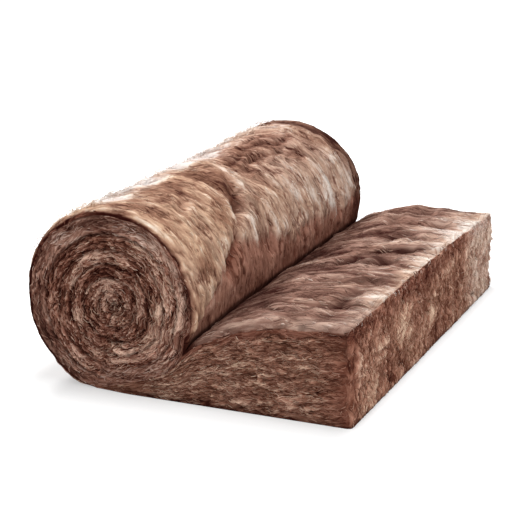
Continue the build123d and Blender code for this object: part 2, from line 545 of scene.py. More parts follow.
        # Tone, with painted light: paler away from the roll, at the lip of the cut end and on the far half
        lip = ramp(x, 0.370, 0.045) * ramp(y, -0.60, 0.25)
        out = ramp(x, 0.05, 0.36)
        blotch = noise(30, x * 6, y * 11 + 5, 3)
        shade = 0.23 + 0.15 * out + 0.34 * lip + 0.19 * ramp(y, -0.05, 0.4) * ramp(x, 0.23, 0.12)
        near = ramp(x, 0.11, 0.08) * ramp(y, -0.2, -0.16)
        shade = shade + 0.10 * ramp(x, 0.28, 0.07) * ramp(y, -0.5, 0.25) + 0.07 * near
        shade = shade + 0.18 * folds + 0.20 * fine + 0.14 * streaks + 0.12 * big + 0.24 * blotch
        # Painted shade in the furrows and folds, less at the lip
        shade = shade - (3.5 * pressed + 0.2 * dark) * (1 - 0.7 * lip)
        red = unit(0.95 - 0.3 * lip + 0.15 * noise(31, x * 9, y * 9))
        slit = 0.22 * crevice(fine, 0.22, 0.04) + 0.45 * crevice(folds, 0.22, 0.04)
        gap = np.clip((0.72 * dark + slit) * (1 - 0.6 * lip), 0, 0.95)
        zero = np.zeros_like(shade)
        return height, np.stack((shade, zero, gap, red, zero + 0.65), -1)

    def cut_relief(self, z: Array, y: Array) -> tuple[Array, Array]:
        """Cut end: torn clumps and pits, with a pale torn lip at the near corner.

        The height adds up puffed noises and the lip, less the pits, and swells a little at the floor.
        The shade follows the noises, crests paler and creases darker in part as painted shade, and shade is
        painted into the pits.

        Args:
            z: Height above the floor.
            y: Place across the blanket.

        Returns:
            Height of the relief and its tone channels.
        """
        warp = noise(37, z * 16, y * 16)
        clumps = puff(noise(41, z * 15 + 0.5 * warp, y * 21 + 0.6 * warp))
        nap = puff(noise(43, z * 27 + y * 12 + 0.4 * warp, y * 55 + 0.5 * warp))
        blotch = noise(47, z * 7, y * 6)
        far = ramp(y, 0.26, 0.16)
        pits = unit(noise(53, z * 48, y * 48) - 0.15) * far
        # Torn lip, and the skin that wraps round the near corner
        edge = y + 0.566 + 0.010 * noise(49, z * 26, y * 0)
        lip = bell(edge, 0, 0.009) * bell(z, 0.140, 0.055)
        wrap = smooth(-edge / 0.012)
        height = 0.009 * clumps + 0.006 * nap + 0.005 * blotch - 0.010 * pits + 0.012 * lip
        height = height + 0.007 * ramp(z, 0.06, -0.06)
        shade = 0.58 + (0.32 * clumps + 0.32 * nap) * (1 - 0.5 * wrap) + 0.15 * blotch
        shade = shade + 0.22 * far + 0.4 * lip - 0.08 * wrap
        high = ramp(z, 0.185, 0.04)
        red = unit(0.30 - 0.3 * blotch - 0.10 * far + 0.45 * high + 0.1 * wrap)
        shade = shade - 0.12 * high * (1 - far)
        slit = 0.25 * crevice(nap, 0.20, 0.10) + 0.22 * crevice(clumps, 0.20, 0.10)
        slit = slit * (1 - 0.6 * wrap) + 0.5 * bell(edge, 0.014, 0.006) * bell(z, 0.140, 0.06)
        # Painted shadow: a dark line along the floor
        gap = unit(1.1 * pits + slit + 0.30 * ramp(z, 0.02, -0.02) + 0.5 * ramp(z, 0.010, -0.008))
        return height, np.stack((shade, 1 - 0.5 * far, gap, red + 0.5 * far, 1 - 0.3 * wrap), -1)

    def build_skin(self) -> None:
        """Sets the skin: outline carried across the width, raised along its own normal.

        The rows at each end follow a quarter ellipse, so both rims are rounded over, and the
        rims waver in and out.
        """
        # Rows across the width: flat between the rims, a quarter ellipse over each
        t = np.linspace(0.0, math.pi / 2, self.rim_rows + 1)
        flat = np.linspace(-1.0, 1.0, self.rows)
        bow = np.concatenate((-np.sin(t[:0:-1]), np.zeros(self.rows), np.sin(t[1:])))
        inset = np.concatenate((1 - np.cos(t[:0:-1]), np.zeros(self.rows), 1 - np.cos(t[1:])))
        spread = np.concatenate((-np.ones(self.rim_rows), flat, np.ones(self.rim_rows)))
        nominal = (spread * (self.half - self.rim) + bow * self.rim)[None, :]
        x, z, deg = self.outline(nominal)
        count = x.shape[0]
        column = np.arange(count)
        top_at, cut_at = self.roll_cols, self.roll_cols + self.top_cols
        # Size of the rims at each column, and how they waver
        stops = (0, 18, top_at - 12, top_at, top_at + 14, cut_at - 4, cut_at + 2, count - 12, count - 1)
        rim = np.interp(column, stops, (0.1, 0.6, 0.6, 0.7, 1.3, 1.3, 1.0, 0.9, 0.35))
        rim = (self.rim * rim)[:, None]
        along = np.cumsum(np.hypot(*(np.diff(v, axis=0, prepend=v[:1]) for v in (x, z))), axis=0)
        far_side = np.sign(nominal)
        waver = noise(71, along * 13, far_side * 5.5, 3) * np.exp((np.abs(nominal) - self.half) / 0.03)
        loose = np.interp(column, (0, 12, cut_at - 20, cut_at + 6), (0.0, 0.006, 0.006, 0.011))[:, None]
        y = spread * (self.half - rim) + bow * rim + loose * far_side * waver
        tx, tz = np.gradient(x, axis=0), np.gradient(z, axis=0)
        size = np.hypot(tx, tz)
        nx, nz = -tz / size, tx / size
        # Relief of the three faces, held down at the crease and at the floor
        parts = (
            self.roll_relief(deg[:top_at], y[:top_at]),
            self.top_relief(x[top_at:cut_at], y[top_at:cut_at]),
            self.cut_relief(z[cut_at:], y[cut_at:]),
        )
        height = np.concatenate([h for h, _ in parts])
        tone = np.concatenate([c for _, c in parts])
        crease = np.abs(column - (top_at - 1.0))[:, None]
        hold = smooth(column / 10.0)[:, None] * (0.25 + 0.75 * smooth(crease / 5.0))
        low = np.where(column >= cut_at, smooth((count - 1 - column) / 5.0) * 0.8 + 0.2, 1.0)[:, None]
        lift = height * hold * low * (1 - 0.35 * (inset > 0)) - inset * rim
        # Shadow in the crease, and wool torn over the rims
        shadow = bell(crease, 0, np.where(column < top_at, 4.5, 1.8)[:, None])
        stops = (0, 92, 116, 140, top_at - 4, top_at + 4, cut_at)
        keep = np.interp(column, stops, (0.0, 0.0, 0.30, 0.6, 0.75, 0.8, 0.8))[:, None]
        ragged = smooth((inset - keep - 0.22 * noise(73, along * 40, far_side * 3.5)) / 0.3)
        ragged = ragged * (inset > 0) * (column < cut_at)[:, None]
        # Painted shadow of the crease, together with torn wool at the rims
        shadow_and_torn = np.maximum(shadow, ragged)
        for channel, most in ((Tone.GAP, 0.95 * bell(crease, 0, 1.7)), (Tone.CUT, shadow_and_torn), (Tone.RED, ragged)):
            tone[..., channel] = np.maximum(tone[..., channel], most)
        tone[..., Tone.SHADE] -= 0.10 * shadow + 0.22 * ragged
        # Painted shade on the roll's rounded rims, which the key lamp lights pale
        tone[..., Tone.SHADE] -= 0.24 * smooth(inset * 3.0) * (column < top_at)[:, None]
        x, z = x + nx * lift, np.maximum(z + nz * lift, 0.0)
        z[0] = z[-1] = 0.0
        x[top_at - 1] -= self.crease_pull[0]
        z[top_at - 1] -= self.crease_pull[1]
        # Grain coordinates, coarser on the free stretch
        ends = (0, top_at - 2, top_at + 2, cut_at - 6, cut_at + 4)
        longer = np.interp(column, ends, (1.5, 1.5, 0.45, 0.45, 1.2))[:, None]
        wider = np.interp(column, ends, (0.62, 0.62, 0.30, 0.30, 0.66))[:, None]
        grain = np.cumsum(np.diff(along, axis=0, prepend=0.0) * longer, axis=0)
        self.skin = Patch(np.stack((x, y, z), -1), tone, np.stack((grain, y * wider), -1))

    def throat(self, x: Array, z: Array) -> tuple[Array, Array, Array]:
        """Wool under the roll, where the outer turn runs out into the free stretch.

        Args:
            x: Places along the blanket.
            z: Heights.

        Returns:
            Nearness to the slanting edge, relief and shade that both sides of it share.
        """
        foot, knee = (self.axis_x - 0.046, 0.0), (self.axis_x + 0.067, 0.034)
        near = bell(off_line(x, z, foot, knee), 0, 0.030)
        leaves = puff(noise(83, x * 16, z * 75 - x * 12))
        return near, 0.009 * leaves * smooth(z / 0.012), 0.46 + 0.5 * leaves

    def join_throat(self, x: Array, z: Array, relief: Array, shade: Array, gap: Array) -> tuple[Array, ...]:
        """Relief, shade and gap of an end, turned over to the throat's own near its edge."""
        near, low, common = self.throat(x, z)
        return relief + near * (low - relief), shade + near * (common - shade), gap * (1 - near)

    def hidden_edge(self, edge: Array, way: float) -> tuple[Array, Array]:
        """Line on an end from the crease under the roll to the foot, where turn meets turn.

        An arc dives from the crease, then a slanting line crosses the outer turn.

        Args:
            edge: The skin's outline on this end.
            way: Outward direction along Y.

        Returns:
            Points of the arc after the crease, and of the slant up to the foot.
        """
        crease, foot = edge[self.roll_cols - 1], edge[0]
        t = (np.arange(self.tuck_cols + 1) / self.tuck_cols)[:, None]
        ang = np.radians(self.tuck_deg[0] + (self.tuck_deg[1] - self.tuck_deg[0]) * t)
        x = self.tuck_centre[0] + self.tuck_radius * np.cos(ang)
        z = self.tuck_centre[1] + self.tuck_radius * np.sin(ang)
        arc = np.concatenate((x, np.full_like(t, crease[1]), z), 1)
        arc, t = arc[1:] + (1 - t[1:]) ** 2 * (crease - arc[0]), t[1:]
        slant = arc[-1] + (np.arange(1, self.cut_cols + 1) / self.cut_cols)[:, None] * (foot - arc[-1])
        for line in (arc, slant):
            near, relief, _ = self.throat(line[:, 0], line[:, 2])
            line[:, 1] = crease[1] + way * relief * near
        arc[:, 1] -= way * 0.011 * (smooth(t / 0.12) * ramp(t, 1, -0.35))[:, 0]
        slant[-1] = foot
        return arc, slant

    def about_eye(self, x: Array, z: Array) -> tuple[Array, Array]:
        """Angle and distance of points about the winding's eye."""
        x, z = x - self.eye[0], z - self.eye[1]
        return np.arctan2(z, x), np.hypot(x, z)

    def spiral(self, x: Array, z: Array, edge: Array) -> tuple[Array, Array]:
        """Winding coordinates of points on an end.

        The clockwise angle from the foot is unwrapped over the turns; the outline gives the
        first turn's radius, and each later turn is one turn's thickness smaller.

        Args:
            x: Places along the blanket.
            z: Heights.
            edge: The skin's outline on this end.

        Returns:
            Turns wound since the foot (whole turns counted), and depth within the turn, 0 to 1.
        """
        # Radius of the spiral by angle wound, from the outline in to the eye
        rim_angle, rim_out = self.about_eye(edge[: self.roll_cols, 0], edge[: self.roll_cols, 2])
        rim_turn = np.mod(rim_angle[0] - rim_angle, math.tau)
        rim_turn[0] = 0.0
        inner = rim_out[0] - self.foot_turn
        last = math.tau * (1 + (inner - EYE_RADIUS) / self.turn)
        nodes = np.concatenate((rim_turn, (math.tau, last)))
        radii = np.concatenate((rim_out, (inner, EYE_RADIUS)))
        # Turn that each point lies in
        angle, out = self.about_eye(x, z)
        turn = np.mod(rim_angle[0] - angle, math.tau)
        shells = np.stack([np.interp(turn + math.tau * k, nodes, radii) for k in range(8)])
        inside = np.clip((out[None] < shells).sum(0) - 1, 0, 6)
        outer = np.take_along_axis(shells, inside[None], 0)[0]
        lower = np.take_along_axis(shells, inside[None] + 1, 0)[0]
        depth = unit((outer - out) / np.maximum(outer - lower, 1e-4))
        # The stretch of the outer turn that lies under the roll
        under = (out > shells[0]) & (turn > rim_turn[-1])
        wound = np.where(under, (edge[0, 0] - x) / (math.tau * ROLL_RADIUS), turn / math.tau + inside)
        return wound, np.where(under, unit(z / 0.029), depth)

    def disc_relief(self, x: Array, z: Array, edge: Array, seed: int) -> tuple[Array, Array, Array]:
        """End of the roll: turns with dark gaps between them, each split into torn wavy leaves.

        Puffed noises run along the winding. The height sinks at each border between turns, in the gap
        inside the outer skin and at the eye, and shade is painted into these gaps; the shade also follows
        the noises, crests paler and creases darker in part as painted shade.

        Args:
            x: Places along the blanket.
            z: Heights.
            edge: The skin's outline on this end.
            seed: Seed of this end.

        Returns:
            Relief, tone channels and grain coordinates.
        """
        wound, depth = self.spiral(x, z, edge)
        out = self.about_eye(x, z)[1]
        dx, dz = x - self.eye[0], z - self.eye[1]
        along = wound * math.tau * 0.12
        # Leaves and tufts along the winding
        sway = noise(seed, x * 17, z * 17, 3)
        ply = depth + 0.42 * sway
        turn_gap = bell(np.minimum(depth, 1 - depth), 0, 0.11)
        opened = np.clip(0.55 + 0.9 * noise(seed + 2, wound * 6, depth * 0 + 3), 0, 1.2)
        leaves = puff(noise(seed + 3, wound * 9, ply * 3.3))
        tufts = puff(noise(seed + 4, wound * 30 + 0.6 * sway, ply * 8 + 11, 3))
        swell = noise(seed + 5, x * 9, z * 9)
        lid = self.rim_gap(wound, depth)
        # Bands of tone by place on the disc
        middle = bell(out, 0, 0.010)
        outer = (wound < 1.0) * 1.0
        right = ramp(dx, 0.06, 0.10)
        rim = outer * ramp(depth, 0.56, -0.22)
        left = ramp(dx, -0.08, -0.08) * bell(dz, 0.02, 0.09)
        over = outer * ramp(dz, 0.10, 0.06)
        calm = 1 - 0.45 * np.maximum(outer * (1 - right), rim)
        # Ring: painted shade of a gap between turns round the core
        ring = bell(out, 0.094, 0.020) * ramp(dz, -0.08, 0.05)
        relief = (0.014 * leaves + 0.010 * tufts) * calm + 0.006 * swell
        relief = relief - 0.015 * turn_gap * opened - 0.012 * lid - 0.008 * middle
        bands = noise(seed + 6, wound * 4, ply * 1.8 + 7)
        shade = 0.61 + (0.68 * leaves + 0.58 * tufts) * calm + 0.40 * bands + 0.08 * sway
        shade = shade - 0.07 * outer * (1 - right) + 0.17 * right
        shade = shade - 0.10 * lid - 0.16 * ring - 0.24 * rim * right - 0.16 * left + 0.16 * over
        slit = 0.65 * crevice(leaves, 0.19, 0.09) + 0.35 * crevice(tufts, 0.20, 0.10)
        gap = unit(0.90 * turn_gap * opened + 0.12 * lid + 0.10 * ring + slit * calm)
        gap = gap * (1 - 0.6 * bell(out, 0, 0.022))
        red = unit(0.85 + 0.35 * sway + 0.3 * outer + 0.2 * rim)
        relief, shade, gap = self.join_throat(x, z, relief, shade, gap)
        cut = 1 - 0.4 * np.maximum(0.3 * lid, outer * (1 - right))
        tone = np.stack((shade, cut, gap, red, 0.3 + 0.8 * calm), -1)
        return relief, tone, np.stack((along, (wound + depth) * self.turn), -1)

    def rim_gap(self, wound: Array, depth: Array) -> Array:
        """Shadowed gap just inside the outer skin, opening and closing round the roll.

        Args:
            wound: Turns wound since the foot.
            depth: Depth within the turn.

        Returns:
            Darkness of the gap, 0 to 1.
        """
        wide = ramp(wound, 0.34, 0.1)
        wave = 0.26 + 0.12 * wide + 0.10 * noise(61, wound * 8, wound * 0)
        open_by = unit(0.55 + 0.6 * wide + 0.9 * noise(67, wound * 6 + 4, wound * 0))
        return bell(depth, wave, 0.14 + 0.14 * wide) * open_by * (wound < 1.0)

    def side_relief(
        self, run: Array, level: Array, x: Array, z: Array, seed: int
    ) -> tuple[Array, Array, Array]:
        """Cut side of the free stretch: torn tufts along wavy laminations, smoother below the top.

        Puffed noises run along the laminations and die down in a band below the top and at the cut end.
        The shade follows them, crests paler and creases darker in part as painted shade.

        Args:
            run: Length along the laminations from under the roll.
            level: Place between the underside, 0, and the top skin, 1.
            x: Places along the blanket.
            z: Heights.
            seed: Seed of this side.

        Returns:
            Relief, tone channels and grain coordinates.
        """
        sway = noise(seed, x * 13, z * 13, 3)
        plies = puff(noise(seed + 2, run * 9 + 0.6 * sway, level * 10 + 0.6 * sway))
        tufts = puff(noise(seed + 3, run * 30 + 0.8 * sway + level * 6, level * 19 + 1.0 * sway))
        band = smooth((level - 0.86 + 0.05 * sway) / 0.06)
        end = ramp(x, 0.33, 0.09)
        calm = 1 - np.maximum(0.75 * band, 0.82 * end)
        lumps = noise(seed + 5, x * 8, z * 8)
        relief = (0.013 * plies + 0.012 * tufts) * calm + 0.006 * lumps + 0.002 * band
        shade = 0.60 + (0.34 * plies + 0.40 * tufts) * calm + 0.06 * sway - 0.18 * band - 0.23 * end
        # Foot: painted shadow along the floor line
        foot = ramp(z, 0.025, -0.025)
        red = unit(0.42 + 0.3 * sway + 0.40 * band + 0.30 * end)
        slit = 0.40 * crevice(tufts, 0.20, 0.10) + 0.30 * crevice(plies, 0.20, 0.10)
        gap = unit(slit * calm + 0.30 * foot + 0.5 * ramp(z, 0.010, -0.008) + 0.10 * band)
        relief, shade, gap = self.join_throat(x, z, relief, shade, gap)
        tone = np.stack((shade, np.ones_like(shade), gap, red, 0.25 + 0.75 * calm), -1)
        return relief, tone, np.stack((run, level * self.thickness), -1)

    def build_end(self, row: int, way: float, rings: int, seed: int) -> tuple[Patch, Patch]:
        """One end of the blanket: the roll's disc and the free stretch's cut side.

        The disc is the outline drawn in towards the eye; the side is blended between its
        four edges. Both are raised outwards, and share the hidden edge between them.

        Args:
            row: Row of the skin that bounds this end.
            way: Outward direction along Y.
            rings: Rings of the disc.
            seed: Seed of this end.

        Returns:
            The disc and the side.
        """
        # Disc: the outline drawn in to the eye, raised outwards and held at its border
        edge = self.skin.place[:, row]
        plane = way * self.half
        arc, slant = self.hidden_edge(edge, way)
        loop = np.concatenate((edge[: self.roll_cols], arc, slant))
        share = (np.arange(rings + 1) / rings)[None, :, None]
        eye = np.array((self.eye[0], plane, self.eye[1]))
        disc = eye + share * (loop[:, None] - eye)
        relief, tone, grain = self.disc_relief(disc[..., 0], disc[..., 2], edge, seed)
        ring = np.arange(rings + 1)
        fade = smooth((rings - ring) * 18.0 / rings)[None, :]
        disc[..., 1] = plane + way * relief * fade + (loop[:, None, 1] - plane) * (1 - fade)
        disc[:, 0] = disc[:, 0].mean(0)
        disc[:, -1] = loop
        # Side: its four edges blended
        top = np.concatenate((arc[::-1], edge[self.roll_cols - 1 : self.roll_cols + self.top_cols]))
        left = np.concatenate((slant[::-1], arc[-1:]))
        right = edge[: self.roll_cols + self.top_cols - 2 : -1]
        crease_x = top[self.tuck_cols, 0]
        knee = np.linspace(left[0, 0], crease_x, self.tuck_cols + 1)[:-1]
        foot_x = np.concatenate((knee, np.linspace(crease_x, right[0, 0], self.top_cols + 1)))
        foot_y = edge[0, 1] + 0.008 * way * ramp(foot_x, foot_x[0], 0.10)
        base = np.stack((foot_x, foot_y, np.zeros_like(foot_x)), -1)
        base[-1] = right[0]
        a = np.linspace(0, 1, len(top))[:, None, None]
        b = np.linspace(0, 1, len(left))[None, :, None]
        side = (1 - b) * base[:, None] + b * top[:, None] + (1 - a) * left[None] + a * right[None]
        side -= (1 - a) * ((1 - b) * base[0] + b * top[0]) + a * ((1 - b) * base[-1] + b * top[-1])
        # Relief of the side, held at its borders
        run = np.cumsum(np.linalg.norm(np.diff(side, axis=0, prepend=side[:1]), axis=2), axis=0)
        level = np.broadcast_to(b[..., 0], run.shape)
        relief, side_tone, side_grain = self.side_relief(run, level, side[..., 0], side[..., 2], seed + 50)
        i, j = np.arange(len(top))[:, None], np.arange(len(left))[None, :]
        hold = smooth((len(top) - 1 - i) / 3) * smooth(j / 3) * smooth((len(left) - 1 - j) / 3)
        side[..., 1] = plane + way * relief * hold + (side[..., 1] - plane) * (1 - hold)
        side[0], side[-1], side[:, 0], side[:, -1] = left, right, base, top
        return Patch(disc, tone, grain), Patch(side, side_tone, side_grain)

    def build(self) -> None:
        """Works out the skin and both ends."""
        self.build_skin()
        near = self.build_end(0, -1.0, self.rings[0], 100)
        away = self.build_end(-1, 1.0, self.rings[1], 300)
        self.discs, self.sides = [near[0], away[0]], [near[1], away[1]]

    def mesh(self, name: str, finish: bpy.types.Material) -> bpy.types.Object:
        """Joins skin, ends and underside into one closed mesh.

        Each patch gives the quads of its own grid. Strips between the two sides make the underside.

        Args:
            name: Name of the object.
            finish: Its material.

        Returns:
            The new object.
        """
        patches = [self.skin, *(d.closed() for d in self.discs), *self.sides]
        place = np.concatenate([p.place.reshape(-1, 3) for p in patches])
        tone = np.concatenate([p.tone.reshape(-1, len(Tone)) for p in patches])
        grain = np.concatenate([p.grain.reshape(-1, 2) for p in patches])
        cells, first = [], 0
        for p in patches:
            cells.append(quads(*p.place.shape[:2], first))
            first += p.place.shape[0] * p.place.shape[1]
        # Underside between the two sides, closed along the foot and the cut end
        cols, rows = self.skin.place.shape[:2]
        length, step = self.sides[0].place.shape[:2]
        near, away = (first - count * length * step + step * np.arange(length) for count in (2, 1))
        under = np.stack((near[1:-2], away[1:-2], away[2:-1], near[2:-1]), -1)
        polygons = np.concatenate(cells + [under]).tolist()
        polygons.append([*np.arange(rows).tolist(), away[1], near[1]])
        polygons.append([*((cols - 1) * rows + np.arange(rows)).tolist(), away[-2], near[-2]])
        mesh = bpy.data.meshes.new(name)
        mesh.from_pydata(place.tolist(), [], polygons)
        corner = np.empty(len(mesh.loops), int)
        mesh.loops.foreach_get("vertex_index", corner)
        dress_corners(mesh, tone[corner], grain[corner])
        # One closed skin, its faces turned outwards
        weld = bmesh.new()
        weld.from_mesh(mesh)
        bmesh.ops.remove_doubles(weld, verts=weld.verts, dist=self.join_within)
        bmesh.ops.dissolve_degenerate(weld, edges=weld.edges, dist=1e-6)
        bmesh.ops.recalc_face_normals(weld, faces=weld.faces)
        loose = sum(1 for e in weld.edges if not e.is_manifold)
        weld.to_mesh(mesh)
        weld.free()
        LOG.info("%s: %d faces, %d open edges", name, len(mesh.polygons), loose)
        return finished(mesh, finish)


def dress_corners(mesh: bpy.types.Mesh, tone: Array, grain: Array) -> None:
    """Writes the tone channels and the grain map on the corners of a mesh.

    Args:
        mesh: The mesh.
        tone: Channels of each corner.
        grain: Grain coordinates of each corner.
    """
    layer = mesh.color_attributes.new("tone", "FLOAT_COLOR", "CORNER")
    layer.data.foreach_set("color", unit(tone[:, : Tone.NAP]).astype(np.float32).ravel())
    nap = tone[:, Tone.NAP].astype(np.float32)
    mesh.attributes.new("nap", "FLOAT", "CORNER").data.foreach_set("value", nap)
    mesh.uv_layers.new(name="grain").data.foreach_set("uv", grain.astype(np.float32).ravel())


def finished(mesh: bpy.types.Mesh, finish: bpy.types.Material) -> bpy.types.Object:
    """Object at the origin for a mesh, smooth and with its finish.

    Args:
        mesh: The mesh.
        finish: Its material.

    Returns:
        The object, linked to the scene.
    """
    mesh.polygons.foreach_set("use_smooth", np.ones(len(mesh.polygons), bool))
    mesh.materials.append(finish)
    piece = bpy.data.objects.new(mesh.name, mesh)
    bpy.context.collection.objects.link(piece)
    return piece


@dataclass(frozen=True)
class Sowing:
    """How loose fibres lie on one face of the wool; lengths in metres, turns in degrees."""

    count: int
    length: tuple[float, float]
    thick: tuple[float, float]
    lift: tuple[float, float] = (0.0, 0.004)
    flat: float = 1.0
    heading: float = 0.0
    spread: float = 14.0
    bend: float = 30.0
    wave: float = 0.0
    shade: tuple[float, float] = (-0.22, 0.24)
    clump: float = 0.18
    points: int = 5
    lowest: float = 0.002  # height above the floor that a fibre keeps
    least_cell: float = 5e-4  # size below which a cell of the grid isn't divided by
    held: float = 0.3  # share of a step below which a fibre is held back

    def cell(self, side: Array, i: Array, j: Array) -> Array:
        """Length of a side of the grid's cells at fractional indices."""
        return np.maximum(np.linalg.norm(blend(side, i, j), axis=1), self.least_cell)

    def lay(self, patch: Patch, outward: Array, seed: int) -> tuple[Array, Array, Array, Array]:
        """Walks each fibre over the face from a random spot, in short steps that follow a flow.

        Its middle is lifted off the face by a sine arch, and its tips sink in. A fibre that the
        face's border holds back is left out.

        Args:
            patch: The face.
            outward: Rough outward direction.
            seed: Seed of the sowing.

        Returns:
            Points of the fibres, the face's normals there, their thickness and their tone.
        """
        rng = np.random.default_rng(seed)
        du, dv = np.gradient(patch.place, axis=0), np.gradient(patch.place, axis=1)
        normal = patch.normals(outward)
        # Starting spots, fewer in gaps and where the nap is low
        tone = patch.tone[:-1, :-1]
        area = np.linalg.norm(np.cross(du, dv), axis=2)[:-1, :-1].ravel()
        area = area * ((1.0 - 0.9 * unit(tone[..., Tone.GAP])) * tone[..., Tone.NAP]).ravel()
        spot = rng.choice(area.size, self.count, p=area / area.sum())
        i = spot // (patch.place.shape[1] - 1) + rng.random(self.count)
        j = spot % (patch.place.shape[1] - 1) + rng.random(self.count)
        # Each fibre's own heading, curl, length, lift, thickness and tone
        side = np.where(rng.random(self.count) < 0.5, 0.0, math.pi)
        own = np.radians(self.heading + self.spread * rng.standard_normal(self.count))
        curl = np.radians(self.bend) * rng.standard_normal(self.count) / self.points
        step = rng.uniform(*self.length, self.count) / (self.points - 1)
        lift = rng.uniform(*self.lift, self.count)
        thick = rng.uniform(*self.thick, self.count)
        tone = blend(patch.tone, i, j)
        at = blend(patch.place, i, j)
        clump = noise(seed + 7, at[:, 0] * 28 + at[:, 2] * 9, at[:, 1] * 28 + at[:, 2] * 26)
        tone[:, Tone.SHADE] += rng.uniform(*self.shade, self.count) + self.clump * clump
        tone[:, Tone.GAP] *= 0.5
        path, facing = [], []
        for k in range(self.points):
            arch = math.sin(math.pi * k / (self.points - 1))
            at, up = blend(patch.place, i, j), blend(normal, i, j)
            at = at + (lift * arch - 0.8 * thick * (1 - arch))[:, None] * up
            path.append(np.maximum(at, (-np.inf, -np.inf, self.lowest)))
            facing.append(up)
            flow = noise(seed, at[:, 0] * 30 + at[:, 2] * 11, at[:, 1] * 30 + at[:, 2] * 28)
            turn = own + side + curl * k + np.radians(self.wave) * flow
            i = i + np.cos(turn) * step / self.cell(du, i, j)
            j = j + np.sin(turn) * step / self.cell(dv, i, j)
        path = np.stack(path, 1)
        free = np.linalg.norm(np.diff(path, axis=1), axis=2).min(1) > self.held * step
        return path[free], np.stack(facing, 1)[free], thick[free], tone[free]


@dataclass
class FibreCoat:
    """Loose fibres of one face as one mesh of closed three-sided spindles."""

    name: str
    sown: list[tuple[Sowing, Patch, Array | tuple, int]]  # with the outward direction and the seed

    def mesh(self, finish: bpy.types.Material) -> bpy.types.Object:
        """Builds the coat: a triangle is carried along each fibre and closed to a tip at both ends.

        Args:
            finish: The material of the fibres.

        Returns:
            The new object.
        """
        places, faces, tones, maps, first, done = [], [], [], [], 0, 0
        total = sum(s.count for s, *_ in self.sown)
        side = math.ceil(math.sqrt(total))
        for sowing, patch, outward, seed in self.sown:
            path, up, thick, tone = sowing.lay(patch, np.array(outward), seed)
            n, k = path.shape[:2]
            # Three-sided tube along each fibre, thickest at its middle
            across = np.cross(up, np.gradient(path, axis=1))
            across /= np.maximum(np.linalg.norm(across, axis=2, keepdims=True), 1e-9)
            swell = np.sin(np.pi * np.linspace(0, 1, k)[1:-1]) ** 0.6
            half = (0.5 * thick[:, None] * swell)[..., None]
            ring = []
            for turn in (0.5 * math.pi + s * math.tau / 3 for s in range(3)):
                arm = math.cos(turn) * sowing.flat * across[:, 1:-1] + math.sin(turn) * up[:, 1:-1]
                ring.append(path[:, 1:-1] + arm * half)
            body = np.stack(ring, 2).reshape(n, -1, 3)
            points = np.concatenate((path[:, :1], body, path[:, -1:]), 1)
            per = points.shape[1]
            tri, quad, tri_map, quad_map = self.pattern(k)
            start = first + per * np.arange(n)[:, None, None]
            # A square of the map for each fibre
            cell = (done + np.arange(n))[:, None, None, None]
            corner = np.concatenate((cell % side, cell // side), 3).astype(float)
            for shape, layout in ((tri, tri_map), (quad, quad_map)):
                faces.append((start + shape[None]).reshape(-1, shape.shape[1]))
                maps.append(((corner + layout[None]) / side).reshape(-1, 2))
                tones.append(np.repeat(tone, shape.size, axis=0))
            places.append(points.reshape(-1, 3))
            first += n * per
            done += n
        mesh = bpy.data.meshes.new(self.name)
        mesh.from_pydata(np.concatenate(places).tolist(), [], [f for g in faces for f in g.tolist()])
        dress_corners(mesh, np.concatenate(tones), np.concatenate(maps))
        mesh.uv_layers["grain"].name = "OFBake"
        LOG.info("%s: %d fibres, %d faces", self.name, done, len(mesh.polygons))
        return finished(mesh, finish)

    @staticmethod
    def pattern(k: int) -> tuple[Array, Array, Array, Array]:
        """Faces of one fibre and their places in its own square of the map.

        Args:
            k: Points along the fibre.

        Returns:
            Triangles, quads, and the map corners of each.
        """
        last = 1 + 3 * (k - 2)
        tri, quad, tri_map, quad_map = [], [], [], []
        for s in range(3):
            n = (s + 1) % 3
            low, high = 0.05 + 0.30 * s, 0.32 + 0.30 * s
            u = np.linspace(0.05, 0.95, k)
            tri += [(0, 1 + n, 1 + s), (last, last - 3 + s, last - 3 + n)]
            tri_map.append(((u[0], low), (u[1], high), (u[1], low)))
            tri_map.append(((u[-1], low), (u[-2], low), (u[-2], high)))
            for r in range(k - 3):
                p = 1 + 3 * r
                quad.append((p + s, p + n, p + 3 + n, p + 3 + s))
                quad_map.append(((u[r + 1], low), (u[r + 1], high), (u[r + 2], high), (u[r + 2], low)))
        return np.array(tri), np.array(quad), np.array(tri_map), np.array(quad_map)


